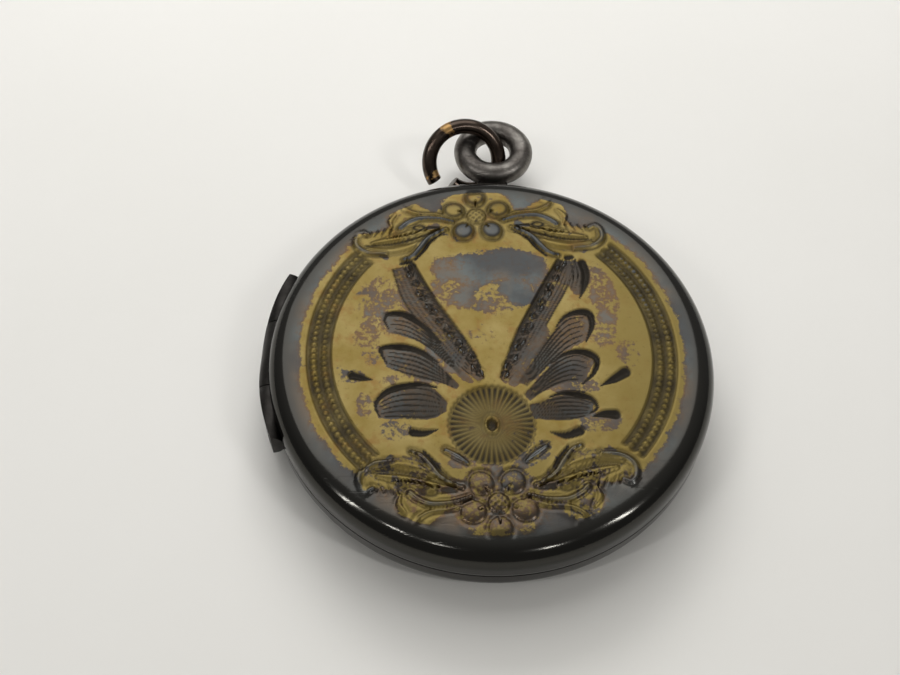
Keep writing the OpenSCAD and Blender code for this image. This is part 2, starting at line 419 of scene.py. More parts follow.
def milled_bands(r):
    """The two curved bands at the sides, each of two rows of tiny beads between cut edges."""
    d = np.hypot(r.u, r.v)
    a = np.degrees(np.arctan2(r.v, r.u))
    for middle, low, high, bright in ((0.0, -43.5, 43.5, 0.6), (180.0, -44.5, 43.5, 0.28)):
        off = (a - middle + 180) % 360 - 180
        if middle:
            off = -off
        length = step(off, low - 1.0, low + 1.5) * step(-off, -high - 1.0, -high + 1.5)
        across = d - BAND_R
        k = length * step(0.86 - np.abs(across), -0.08, 0.08)
        arc_mm = np.radians(off) * BAND_R
        beads = np.zeros_like(d)
        for row, shift in ((-0.37, 0.0), (0.37, 0.5)):
            bead_no = arc_mm / BEAD_PITCH + shift
            size = 0.21 + 0.035 * np.sin(np.floor(bead_no) * 12.9898 + row * 40)   # no two beads quite alike
            along = (bead_no % 1.0 - 0.5) * BEAD_PITCH
            beads = np.maximum(beads, np.clip(1 - ((across - row) ** 2 + along ** 2) / size ** 2, 0, 1))
        uneven = 0.14 * np.sin(arc_mm * 2.3 + middle) * np.sin(arc_mm * 0.9 + 1.0)
        r.height = r.height * (1 - k) + k * (-0.12 + 0.15 * np.sqrt(beads))
        clean = np.where(across > 0, 0.64, 0.42)
        r.recess = r.recess * (1 - k) + k * np.clip(0.72 + uneven - clean * np.sqrt(beads), 0, 1)
        upper = step(off, -25, 15) if not middle else 0.6
        r.rub = r.rub * (1 - k) + k * bright * step(beads, 0.2, 0.7) * upper
        for at, strong in ((-0.8, 0.7), (0.0, 0.85), (0.8, 0.7)):
            line = length * line_at(across - at, 0.085)
            r.height -= 0.04 * line
            r.recess = np.maximum(r.recess, strong * line)


def arm(r, inner, outer):
    """One arm of the V: a bar between cut lines, with a row of scallops in bright cutting down its middle."""
    n = 40
    inner, outer = spaced(curve(inner, 12), n), spaced(curve(outer, 12), n)
    r.fill(np.vstack([inner, outer[::-1]]), gild=0.1, depth=-0.05, soft=0.1, recess=0.36)
    for share, width, deep in ((0.04, 0.2, 0.16), (0.16, 0.06, 0.07), (0.5, 0.06, 0.06), (0.66, 0.05, 0.05),
                               (0.82, 0.06, 0.06), (0.98, 0.1, 0.1)):
        line = inner * (1 - share) + outer * share
        r.groove(line[::4], (width, width, width * 0.5), deep, dirt=0.85)
    middle = inner * (1 - 0.33) + outer * 0.33
    count = int(np.hypot(*np.diff(middle, axis=0).T).sum() / SCALLOP)
    for k in range(count):
        i = min(int((k + 0.5) / count * (n - 1)), n - 2)
        along = middle[i + 1] - middle[i]
        along = along / np.hypot(*along)
        over = np.array([-along[1], along[0]]) * (1 if k % 2 else -1)
        p = middle[i]
        r.groove([p - along * 0.3 + over * 0.02, p + over * 0.16, p + along * 0.3 + over * 0.02],
                 (0.03, 0.17, 0.03), 0.14)
        r.ridge([p - along * 0.3 - over * 0.1, p - over * 0.2, p + along * 0.3 - over * 0.1],
                (0.04, 0.12, 0.04), 0.08, rub=0.9, dirt=0.0)


def feather(r, upper, lower, lines, hook, hook_w=0.3):
    """One feather: a field of fine parallel cuts between two edges, and a broad dark cut hooked over its tip."""
    upper, lower = spaced(curve(upper), 30), spaced(curve(lower), 30)
    from_eye = np.hypot(r.u - ROSETTE[0], r.v - ROSETTE[1])
    r.fill(np.vstack([upper, lower[::-1]]), gild=-0.2, depth=-0.04, soft=0.12,
           recess=0.62 - 0.32 * step(from_eye, 4.0, 8.5))
    for k in range(lines):
        share = (k + 0.7) / (lines + 0.2)
        path = upper * (1 - share) + lower * share
        r.groove(path[2 + k % 2::4], (0.05, 0.1, 0.03), 0.08, dirt=0.95)
    r.groove(hook, (0.05, hook_w, 0.08), 0.24)


def gilded_ground(r):
    """Where the gilding lies, before wear: the round field, with its thin and bare patches."""
    d = np.hypot(r.u, r.v)
    angle = np.abs(np.degrees(np.arctan2(np.abs(r.v), np.abs(r.u))))
    in_round = step(13.75 - d, -0.35, 0.45)
    crown_line = 10.6 - 0.045 * np.abs(r.u) ** 2
    in_field = step(crown_line - np.abs(r.v), -0.3, 0.4)
    r.gild = 2.2 * in_round * np.maximum(angle < 47, in_field) - 0.75
    for centre, radii, turn, amount in (
        ((2.9, 5.4), (2.0, 1.8), 0.5, 1.35),       # either side of and below the bare patch
        ((-2.6, 5.2), (1.7, 1.6), -0.5, 1.15),
        ((0.4, 4.4), (2.8, 1.5), 0.0, 1.05),
        ((-0.6, 1.2), (1.1, 1.1), 0.0, 0.55),
        ((-3.7, -0.9), (1.7, 0.7), -0.7, 1.5),     # between the feathers
        ((-5.9, -2.5), (2.4, 0.5), -0.1, 1.1),
        ((-3.4, 1.7), (1.2, 0.6), -0.9, 1.3),
        ((4.4, -0.5), (2.0, 0.7), 0.7, 1.35),
        ((5.4, -3.4), (2.2, 0.6), 0.0, 1.3),
        ((-9.1, -4.2), (0.6, 1.1), 0.0, 1.15),
        ((2.0, -8.5), (1.8, 0.9), 0.5, 1.1),       # breaks above the lower garland
        ((-2.6, -8.8), (1.0, 0.6), 0.0, 1.1),
        ((-7.4, 4.0), (2.2, 2.6), 0.2, 1.0),       # mottled fields outside the arms
        ((-8.8, 0.8), (0.9, 1.8), 0.2, 0.95),
        ((8.4, 4.4), (1.1, 2.6), 0.15, 1.3),
        ((7.9, 1.2), (1.2, 1.4), 0.0, 1.0),
        ((9.6, -0.8), (0.8, 1.4), 0.0, 0.85),
        ((-9.9, -1.9), (1.0, 0.6), 0.0, 1.1),
        ((-7.0, -6.3), (1.2, 0.9), 0.0, 1.0),
        ((7.0, -6.2), (1.6, 0.8), 0.0, 1.1),
        ((-4.4, 10.4), (1.0, 0.7), 0.0, 0.9),
        ((5.0, 8.6), (1.1, 0.5), 0.3, 0.9),
    ):
        c, s = math.cos(turn), math.sin(turn)
        x, y = r.u - centre[0], r.v - centre[1]
        q = np.hypot((x * c + y * s) / radii[0], (-x * s + y * c) / radii[1])
        r.gild -= amount * step(1.25 - q, 0, 0.5)
    bare = curve([(-3.7, 8.0), (-2.0, 8.35), (0.6, 8.5), (2.4, 8.6), (4.4, 7.7), (4.3, 6.6), (3.4, 5.6),
                  (1.4, 5.9), (-0.4, 5.4), (-2.4, 5.9), (-3.5, 6.2), (-4.1, 7.1), (-3.7, 8.0)], 6)
    r.fill(bare, gild=-0.7, soft=0.5)              # bare below the upper garland


def arms(r):
    """Both arms, the cuts at their ends, and the dark roots that the feathers spring from."""
    arm(r, [(-5.35, 7.6), (-3.85, 4.3), (-2.4, 1.7), (-1.3, -0.45), (-0.7, -2.4)],
        [(-6.9, 7.1), (-6.2, 4.3), (-4.6, 1.5), (-2.85, -0.95), (-1.1, -2.9)])
    arm(r, [(5.4, 7.5), (4.15, 5.4), (2.95, 3.2), (1.8, 1.1), (0.3, -2.5)],
        [(6.75, 7.5), (5.95, 5.2), (4.5, 2.6), (2.55, -0.75), (0.75, -3.0)])
    beside_arm = curve([(6.0, 7.3), (7.3, 7.3), (7.55, 6.2), (7.0, 4.7), (6.4, 4.3), (5.9, 5.4), (6.0, 7.3)], 6)
    r.fill(beside_arm, gild=-0.3, soft=0.15, recess=0.42)
    for k in (0.0, 0.35, 0.7):
        r.groove([(6.35 + k, 7.2), (6.45 + k, 6.1), (6.15 + 0.8 * k, 4.9)], (0.05, 0.06, 0.03), 0.07, dirt=0.85)
    r.groove([(7.2, 7.2), (7.35, 6.2), (7.1, 5.0), (6.65, 3.95)], (0.38, 0.36, 0.04), 0.22)
    r.groove([(-6.3, 7.6), (-5.6, 7.75), (-5.2, 7.4)], (0.12, 0.2, 0.12), 0.16)
    r.groove([(6.1, 7.7), (6.5, 7.75)], (0.25, 0.22, 0.2), 0.16)
    for roots in ([(-4.7, 1.6), (-2.9, -0.9), (-1.5, -2.7), (-2.3, -2.6), (-3.4, -0.6), (-4.6, 1.0)],
                  [(3.9, 1.9), (2.3, -0.4), (0.9, -2.8), (1.7, -3.1), (2.6, -1.4), (4.2, 0.9)]):
        r.fill(curve(roots + roots[:1], 6), gild=-0.1, soft=0.12, recess=0.34)


def feathers(r):
    """Three feathers on each side, and the lone cut drops round them."""
    feather(r, [(-7.9, 3.3), (-6.1, 3.1), (-4.8, 1.95), (-3.6, 0.4), (-2.4, -1.9)],
            [(-7.3, 1.6), (-5.8, 1.0), (-4.6, 0.2), (-3.5, -1.0), (-2.4, -2.2)], 5,
            [(-7.3, 1.9), (-7.6, 2.7), (-7.2, 3.2), (-6.1, 3.05), (-4.8, 2.0), (-3.6, 0.5)], 0.32)
    feather(r, [(-8.1, 0.45), (-7.1, 0.45), (-5.4, 0.1), (-4.1, -0.95), (-2.5, -3.0)],
            [(-7.5, -1.3), (-6.3, -1.95), (-5.0, -2.4), (-3.8, -2.75), (-2.7, -3.3)], 6,
            [(-7.5, -1.0), (-7.85, -0.2), (-7.8, 0.3), (-6.6, 0.35), (-5.2, -0.05), (-3.9, -1.1)], 0.34)
    feather(r, [(-8.5, -4.0), (-7.3, -3.05), (-5.9, -2.75), (-4.5, -3.05), (-3.4, -4.2)],
            [(-8.2, -5.3), (-6.9, -5.4), (-5.6, -5.55), (-4.5, -5.5), (-3.5, -5.0)], 6,
            [(-8.1, -5.2), (-8.35, -4.2), (-7.6, -3.3), (-6.5, -2.9), (-5.2, -2.8), (-4.1, -3.1)], 0.34)
    feather(r, [(7.3, 2.3), (6.3, 2.75), (5.2, 2.1), (4.2, 0.9), (3.1, -0.7), (1.7, -2.9)],
            [(6.8, 0.4), (5.3, -0.4), (3.9, -1.6), (2.2, -3.3)], 6,
            [(4.7, 1.6), (5.4, 2.4), (6.4, 2.8), (7.2, 2.6), (7.3, 1.6), (6.7, 0.2)], 0.36)
    feather(r, [(7.2, -1.3), (6.3, -0.65), (5.4, -0.7), (4.2, -1.45), (2.9, -2.8), (1.9, -3.9)],
            [(6.2, -3.1), (5.2, -3.0), (3.8, -3.45), (2.3, -4.4)], 6,
            [(4.0, -1.5), (5.2, -0.7), (6.4, -0.6), (7.3, -1.2), (7.0, -2.3), (6.1, -3.2)], 0.34)
    feather(r, [(6.8, -4.7), (5.7, -4.15), (4.5, -4.05), (3.4, -4.35), (2.3, -4.75)],
            [(6.4, -5.7), (5.0, -6.0), (3.5, -5.95), (2.2, -5.75)], 6,
            [(3.6, -4.2), (4.6, -3.9), (5.7, -4.05), (6.6, -4.4), (6.9, -5.1), (6.4, -5.5)], 0.3)
    for points, wide in (
        ([(-9.95, -1.85), (-9.3, -2.05), (-8.5, -2.3)], 0.38),
        ([(-5.85, -6.5), (-5.1, -6.6), (-4.1, -6.35)], 0.36),
        ([(9.2, -2.35), (8.4, -2.85), (7.35, -3.4)], 0.48),
        ([(8.1, -5.65), (7.4, -5.6), (6.5, -5.8)], 0.44),
        ([(5.5, -6.85), (4.5, -7.15), (3.4, -6.85)], 0.42),
    ):
        r.groove(points, (wide, wide * 0.75, 0.03), 0.22)


def draw_pattern(u, v):
    """The whole front, from the ground up."""
    r = Relief(u, v)
    gilded_ground(r)
    for up, whole in ((1, 1.3), (-1, 0.72)):
        for side in (-1, 1):
            garland(r, side, up, whole)
    for side in (-1, 1):
        r.ridge([(AXIS_U + side * 2.0, -8.95), (AXIS_U + side * 2.7, -8.4), (AXIS_U + side * 3.4, -7.95)],
                (0.12, 0.26, 0.18), 0.16, rub=0.8)
    flower(r, 1)
    flower(r, -1)
    milled_bands(r)
    arms(r)
    feathers(r)
    rosette(r)
    r.recess *= 1 - 0.4 * step(-v, 8.8, 10.0)      # the foot is rubbed softer than the top
    return r


# ---------------------------------------------------------------- materials
def srgb(code):
    """A hex colour such as C9A65E, as linear RGBA."""
    parts = [int(code[i:i + 2], 16) / 255 for i in (0, 2, 4)]
    return tuple(c / 12.92 if c <= 0.04045 else ((c + 0.055) / 1.055) ** 2.4 for c in parts) + (1.0,)


def per_mm(size):
    """Texture scale for a feature of this size in mm."""
    return 1000.0 / size


def add(tree, kind, sockets=None, out=0, **settings):
    """Adds a node and returns one of its outputs. sockets gives its inputs by name or number: a value, or
    another node's output to link."""
    node = tree.nodes.new(kind)
    for key, value in settings.items():
        setattr(node, key, value)
    for key, value in (sockets or {}).items():
        if isinstance(value, bpy.types.NodeSocket):
            tree.links.new(value, node.inputs[key])
        else:
            node.inputs[key].default_value = value
    return node.outputs[out] if node.outputs else None


def blank(name):
    mat = bpy.data.materials.new(name)
    mat.use_nodes = True
    mat.node_tree.nodes.clear()
    return mat, mat.node_tree


SMOOTH = "SMOOTHSTEP"


def handled_surface(t, coords, tone, pitting, grain_mm=0.12, strength=0.12):
    """Bump of a handled metal surface: fine pitting and long hair scratches. Returns the normal. Real pits are
    a few hundredths of a mm and hair scratches finer still. Both are drawn a few times too coarse, to show."""
    pits = add(t, "ShaderNodeTexNoise", {"Vector": coords, "Scale": per_mm(grain_mm), "Detail": 3.0})
    drawn_out = add(t, "ShaderNodeMapping",
                    {"Vector": coords, "Rotation": (0.0, 0.0, 0.6), "Scale": (1.0, 14.0, 1.0)})
    hairs = add(t, "ShaderNodeTexNoise", {"Vector": drawn_out, "Scale": per_mm(3.0), "Detail": 2.0})
    hair = add(t, "ShaderNodeMapRange", {0: hairs, 1: 0.62, 2: 0.7}, interpolation_type=SMOOTH)
    both = add(t, "ShaderNodeMath", {0: pits, 1: pitting, 2: tone}, operation="MULTIPLY_ADD")
    total = add(t, "ShaderNodeMath", {0: both, 1: hair}, operation="SUBTRACT")
    return add(t, "ShaderNodeBump", {"Height": total, "Strength": strength, "Distance": 0.00002})


def bare_silver(t, coords, rim, nearly_gilt):
    """Colour of the tarnished silver: purple and grey drifts, smoky clouds, brown beside the gilding."""
    drift = add(t, "ShaderNodeTexNoise",
                {"Vector": coords, "Scale": per_mm(4.0), "Detail": 4.0, "Distortion": 0.6})
    hue = add(t, "ShaderNodeMapRange", {0: drift, 1: 0.4, 2: 0.6})
    tarnish = add(t, "ShaderNodeMix", {0: hue, 6: srgb("5E5449"), 7: srgb("565957")}, 2, data_type="RGBA")
    nearly = add(t, "ShaderNodeMapRange", {0: nearly_gilt, 1: -0.6, 2: 0.3})
    verge = add(t, "ShaderNodeMath", {0: nearly, 1: 0.7}, operation="MULTIPLY")
    edged = add(t, "ShaderNodeMix", {0: verge, 6: tarnish, 7: srgb("5E452C")}, 2, data_type="RGBA")
    clouds = add(t, "ShaderNodeTexNoise",
                 {"Vector": coords, "Scale": per_mm(6.5), "Detail": 5.0, "Roughness": 0.6})
    smoke = add(t, "ShaderNodeMapRange", {0: clouds, 1: 0.42, 2: 0.64, 4: 0.75}, interpolation_type=SMOOTH)
    smoked = add(t, "ShaderNodeMix", {0: smoke, 6: edged, 7: srgb("3A3C3E")}, 2, data_type="RGBA")
    return add(t, "ShaderNodeMix", {0: rim, 6: smoked, 7: srgb("3F3E3B")}, 2, data_type="RGBA")


def old_gold(t, coords, foot):
    """Colour of the gilding: buff and olive clouds of about 3 mm, redder flushes, specks of a third of a mm,
    and painted shade, darker and more olive towards the foot and down the right side."""
    clouds = add(t, "ShaderNodeTexNoise",
                 {"Vector": coords, "Scale": per_mm(2.8), "Detail": 6.0, "Roughness": 0.6})
    cloud = add(t, "ShaderNodeMapRange", {0: clouds, 1: 0.35, 2: 0.65})
    gold = add(t, "ShaderNodeMix", {0: cloud, 6: srgb("8F7F50"), 7: srgb("7A6837")}, 2, data_type="RGBA")
    flush = add(t, "ShaderNodeTexNoise",
                {"Vector": coords, "Scale": per_mm(1.8), "Detail": 5.0, "Roughness": 0.7})
    warm = add(t, "ShaderNodeMapRange", {0: flush, 1: 0.5, 2: 0.68, 4: 0.6}, interpolation_type=SMOOTH)
    warmer = add(t, "ShaderNodeMix", {0: warm, 6: gold, 7: srgb("7C5B34")}, 2, data_type="RGBA")
    # painted shade: the foot mask darkens the gold to olive at the foot and down the right side
    gold_with_painted_shade = add(t, "ShaderNodeMix", {0: foot, 6: warmer, 7: srgb("7A6B3E")}, 2, data_type="RGBA")
    specks = add(t, "ShaderNodeTexNoise",
                 {"Vector": coords, "Scale": per_mm(0.35), "Detail": 4.0, "Roughness": 0.7})
    speck = add(t, "ShaderNodeMapRange", {0: specks, 1: 0.6, 2: 0.72, 4: 0.35}, interpolation_type=SMOOTH)
    return add(t, "ShaderNodeMix", {0: speck, 6: gold_with_painted_shade, 7: srgb("4A3C28")}, 2, data_type="RGBA")


def worn_gilding():
    """Fire gilding worn off a stamped and silvered brass front: a satin yellow where whole, breaking up in
    ragged islands to purple and grey tarnished silver, with black-brown dirt in the cuts."""
    mat, t = blank("worn_fire_gilding_on_tarnished_silver")
    coords = add(t, "ShaderNodeTexCoord", out="Object")
    # the foot mask carries painted shade over the gold
    gild, recess, rub, rim, foot = [
        add(t, "ShaderNodeAttribute", out="Fac", attribute_name=name)
        for name in ("gilding", "recess", "rub", "rim", "foot")]

    # islands of about 1 mm, their edges ragged and gritty
    ragged = add(t, "ShaderNodeTexNoise",
                 {"Vector": coords, "Scale": per_mm(1.2), "Detail": 7.0, "Roughness": 0.68})
    swing = add(t, "ShaderNodeMath", {0: ragged, 1: 4.2, 2: -2.1}, operation="MULTIPLY_ADD")
    islands = add(t, "ShaderNodeMath", {0: gild, 1: swing}, operation="ADD")
    grit = add(t, "ShaderNodeTexNoise", {"Vector": coords, "Scale": per_mm(0.3), "Detail": 3.0})
    gritty = add(t, "ShaderNodeMath", {0: grit, 1: 1.3, 2: -0.65}, operation="MULTIPLY_ADD")
    gilt = add(t, "ShaderNodeMath", {0: islands, 1: gritty}, operation="ADD")
    whole = add(t, "ShaderNodeMapRange", {0: gilt, 1: 0.2, 2: 0.8}, interpolation_type=SMOOTH)
    skin = add(t, "ShaderNodeMix",
               {0: whole, 6: bare_silver(t, coords, rim, gilt), 7: old_gold(t, coords, foot)}, 2, data_type="RGBA")

    # raised work is rubbed through to grey metal, broken up a little, and dirt lies in the cuts
    thin = add(t, "ShaderNodeMath", {0: rub, 1: ragged}, operation="MULTIPLY")
    bare = add(t, "ShaderNodeMapRange", {0: thin, 1: 0.12, 2: 0.4}, interpolation_type=SMOOTH)
    rubbed = add(t, "ShaderNodeMix", {0: bare, 6: skin, 7: srgb("5A5B5A")}, 2, data_type="RGBA")
    dirty = add(t, "ShaderNodeMapRange", {0: recess, 1: 0.15, 2: 0.95})
    colour = add(t, "ShaderNodeMix", {0: dirty, 6: rubbed, 7: srgb("231D13")}, 2, data_type="RGBA")

    satin = add(t, "ShaderNodeMapRange", {0: whole, 3: 0.3, 4: 0.42})
    polished_rim = add(t, "ShaderNodeMapRange", {0: rim, 3: satin, 4: 0.13})
    rough = add(t, "ShaderNodeMapRange", {0: dirty, 3: polished_rim, 4: 0.6})
    metal = add(t, "ShaderNodeMapRange", {0: dirty, 3: 1.0, 4: 0.55})
    shader = add(t, "ShaderNodeBsdfPrincipled",
                 {"Base Color": colour, "Roughness": rough, "Metallic": metal,
                  "Normal": handled_surface(t, coords, ragged, 0.6)})
    add(t, "ShaderNodeOutputMaterial", {"Surface": shader})
    return mat


def clouded_metal(name, light, dark, cloud_mm, roughness, limits=(0.36, 0.64), detail=(6.0, 0.62),
                  pitting=0.5, grain_mm=0.12, strength=0.12):
    """A metal whose tone and gloss drift in clouds, under fine handling wear."""
    mat, t = blank(name)
    coords = add(t, "ShaderNodeTexCoord", out="Object")
    clouds = add(t, "ShaderNodeTexNoise",
                 {"Vector": coords, "Scale": per_mm(cloud_mm), "Detail": detail[0], "Roughness": detail[1]})
    cloud = add(t, "ShaderNodeMapRange", {0: clouds, 1: limits[0], 2: limits[1]})
    colour = add(t, "ShaderNodeMix", {0: cloud, 6: srgb(light), 7: srgb(dark)}, 2, data_type="RGBA")
    rough = add(t, "ShaderNodeMapRange", {0: clouds, 1: 0.3, 2: 0.7, 3: roughness[0], 4: roughness[1]})
    shader = add(t, "ShaderNodeBsdfPrincipled",
                 {"Base Color": colour, "Roughness": rough, "Metallic": 1.0,
                  "Normal": handled_surface(t, coords, clouds, pitting, grain_mm, strength)})
    add(t, "ShaderNodeOutputMaterial", {"Surface": shader})
    return mat


def tarnished_plate():
    """Silver plate on brass, handled for a century: glossy and nearly black, with warmer clouds."""
    return clouded_metal("tarnished_silver_plate", "484643", "393734", 5.0, (0.15, 0.26))


def hinge_metal():
    """Hinge tube of brass, its silver plate gone black and matt where fingers don't reach."""
    return clouded_metal("blackened_brass_tube", "3B3937", "2A2826", 1.4, (0.34, 0.5), (0.36, 0.66), (6.0, 0.65),
                         pitting=0.7, grain_mm=0.15, strength=0.2)


def bail_metal():
    """Cast and filed wire under a dark matt tarnish, a little lighter where fingers rub it."""
    return clouded_metal("dark_tarnished_brass_wire", "85817B", "524D49", 1.6, (0.3, 0.44), (0.35, 0.65),
                         (6.0, 0.65), pitting=0.9, grain_mm=0.3, strength=1.0)


def inner_brass():
    """Satin brass inside the case, turned on the lathe and lightly toned."""
    return clouded_metal("turned_satin_brass", "C8A868", "8C7147", 4.0, (0.26, 0.4), (0.38, 0.66), (5.0, 0.5))


def frame_gilding():
    """Thin gilt brass picture frames, kept bright because the case is shut."""
    return clouded_metal("gilt_brass", "E0BE72", "B48F4E", 2.5, (0.2, 0.32), (0.4, 0.7), (5.0, 0.5))


def jump_ring_metal():
    """Glossy dark tarnished wire whose gilding is left in two worn patches."""
    mat, t = blank("tarnished_wire_with_gilding_left")
    coords = add(t, "ShaderNodeTexCoord", out="Object")
    left = add(t, "ShaderNodeAttribute", out="Fac", attribute_name="gilding")
    ragged = add(t, "ShaderNodeTexNoise",
                 {"Vector": coords, "Scale": per_mm(0.9), "Detail": 6.0, "Roughness": 0.65})
    total = add(t, "ShaderNodeMath", {0: ragged, 1: left}, operation="ADD")
    gilt = add(t, "ShaderNodeMapRange", {0: total, 1: 0.98, 2: 1.12}, interpolation_type=SMOOTH)
    cloud = add(t, "ShaderNodeMapRange", {0: ragged, 1: 0.35, 2: 0.65})
    dark = add(t, "ShaderNodeMix", {0: cloud, 6: srgb("5A4F47"), 7: srgb("40362F")}, 2, data_type="RGBA")
    colour = add(t, "ShaderNodeMix", {0: gilt, 6: dark, 7: srgb("B6915E")}, 2, data_type="RGBA")
    rough = add(t, "ShaderNodeMapRange", {0: gilt, 3: 0.22, 4: 0.36})
    shader = add(t, "ShaderNodeBsdfPrincipled",
                 {"Base Color": colour, "Roughness": rough, "Metallic": 1.0,
                  "Normal": handled_surface(t, coords, ragged, 0.7, 0.2, 0.2)})
    add(t, "ShaderNodeOutputMaterial", {"Surface": shader})
    return mat


def pin_metal():
    """Drawn brass pin wire, with the lengthwise lines of the draw plate. Real ones are of microns, and these
    are drawn at 0.05 mm, to show."""
    mat, t = blank("drawn_brass_wire")
    coords = add(t, "ShaderNodeTexCoord", out="Object")
    along = add(t, "ShaderNodeMapping", {"Vector": coords, "Scale": (1.0, 0.02, 1.0)})
    lines = add(t, "ShaderNodeTexNoise", {"Vector": along, "Scale": per_mm(0.05), "Detail": 2.0})
    colour = add(t, "ShaderNodeMix", {0: lines, 6: srgb("8E7A58"), 7: srgb("6B5B42")}, 2, data_type="RGBA")
    bump = add(t, "ShaderNodeBump", {"Height": lines, "Strength": 0.2, "Distance": 0.00001})
    shader = add(t, "ShaderNodeBsdfPrincipled",
                 {"Base Color": colour, "Roughness": 0.34, "Metallic": 1.0, "Normal": bump})
    add(t, "ShaderNodeOutputMaterial", {"Surface": shader})
    return mat


def window_glass():
    """Thin cut window glass over each picture, very slightly green, with a faint haze of dust."""
    mat, t = blank("soda_lime_glass")
    coords = add(t, "ShaderNodeTexCoord", out="Object")
    haze = add(t, "ShaderNodeTexNoise", {"Vector": coords, "Scale": per_mm(3.0), "Detail": 5.0})
    rough = add(t, "ShaderNodeMapRange", {0: haze, 1: 0.4, 2: 0.8, 3: 0.01, 4: 0.08})
    shader = add(t, "ShaderNodeBsdfPrincipled",
                 {"Base Color": srgb("F2F8F4"), "Roughness": rough, "IOR": 1.52, "Transmission Weight": 1.0})
    # a pane this thin lets the lamps through to the picture
    clear = add(t, "ShaderNodeBsdfTransparent", {"Color": srgb("F2F8F4")})
    shadow = add(t, "ShaderNodeLightPath", out="Is Shadow Ray")
    pane = add(t, "ShaderNodeMixShader", {0: shadow, 1: shader, 2: clear})
    add(t, "ShaderNodeOutputMaterial", {"Surface": pane})
    return mat


def paper(name, light, dark, grain_mm, roughness):
    """Card or picture paper: the foxing of age in spots of a few millimetres, and fibres, which are drawn at
    several times their hundredths of a mm, to show."""
    mat, t = blank(name)
    coords = add(t, "ShaderNodeTexCoord", out="Object")
    age = add(t, "ShaderNodeTexNoise", {"Vector": coords, "Scale": per_mm(6.0), "Detail": 6.0, "Roughness": 0.6})
    aged = add(t, "ShaderNodeMapRange", {0: age, 1: 0.45, 2: 0.75})
    colour = add(t, "ShaderNodeMix", {0: aged, 6: srgb(light), 7: srgb(dark)}, 2, data_type="RGBA")
    fibre = add(t, "ShaderNodeTexNoise", {"Vector": coords, "Scale": per_mm(grain_mm), "Detail": 4.0})
    bump = add(t, "ShaderNodeBump", {"Height": fibre, "Strength": 0.25, "Distance": 0.00002})
    shader = add(t, "ShaderNodeBsdfPrincipled", {"Base Color": colour, "Roughness": roughness, "Normal": bump})
    add(t, "ShaderNodeOutputMaterial", {"Surface": shader})
    return mat


def table_laminate():
    """A smooth satin white table top, with faint scuffs a few centimetres apart."""
    mat, t = blank("satin_white_laminate")
    coords = add(t, "ShaderNodeTexCoord", out="Object")
    scuffs = add(t, "ShaderNodeTexNoise", {"Vector": coords, "Scale": per_mm(30.0), "Detail": 5.0})
    colour = add(t, "ShaderNodeMix", {0: scuffs, 6: srgb("EDEBE6"), 7: srgb("E6E4DE")}, 2, data_type="RGBA")
    shader = add(t, "ShaderNodeBsdfPrincipled", {"Base Color": colour, "Roughness": 0.55})
    add(t, "ShaderNodeOutputMaterial", {"Surface": shader})
    return mat


# ---------------------------------------------------------------- the front
def front_steps():
    """Radius and height of each ring of the front's mesh, from the centre out and over the shoulder to the
    parting edge."""
    crown_r = (CORE_R ** 2 + CROWN_H ** 2) / (2 * CROWN_H)
    crown_z = PARTING_Z + WALL_H + SHOULDER_R
    rings = [(r, crown_z + CROWN_H - (crown_r - math.sqrt(crown_r ** 2 - r ** 2)))
             for r in list(np.linspace(0, 13.9, 133)) + [14.15, CORE_R]]
    rings += arc((CORE_R, PARTING_Z + WALL_H), SHOULDER_R, 90, 0, 12)[1:]
    rings += [(CASE_R, PARTING_Z + h) for h in (0.55, 0.25, EDGE_BEVEL)]
    rings += [(CASE_R - EDGE_BEVEL, PARTING_Z)]
    return np.array(rings)


def set_mask(obj, name, values):
    layer = obj.data.attributes.new(name, "FLOAT", "POINT")
    layer.data.foreach_set("value", values.astype(np.float32))


def vertex_places(obj):
    """Where the vertices are, in mm."""
    flat = np.empty(len(obj.data.vertices) * 3, np.float32)
    obj.data.vertices.foreach_get("co", flat)
    return flat.reshape(-1, 3).astype(float) / MM


def move_vertices(obj, xyz):
    obj.data.vertices.foreach_set("co", (xyz * MM).astype(np.float32).ravel())
    obj.data.update()


def pattern_place(xyz):
    """The pattern's (u, v) at places on the case."""
    c, s = math.cos(PATTERN_TURN), math.sin(PATTERN_TURN)
    return c * xyz[:, 0] + s * xyz[:, 1], -s * xyz[:, 0] + c * xyz[:, 1]


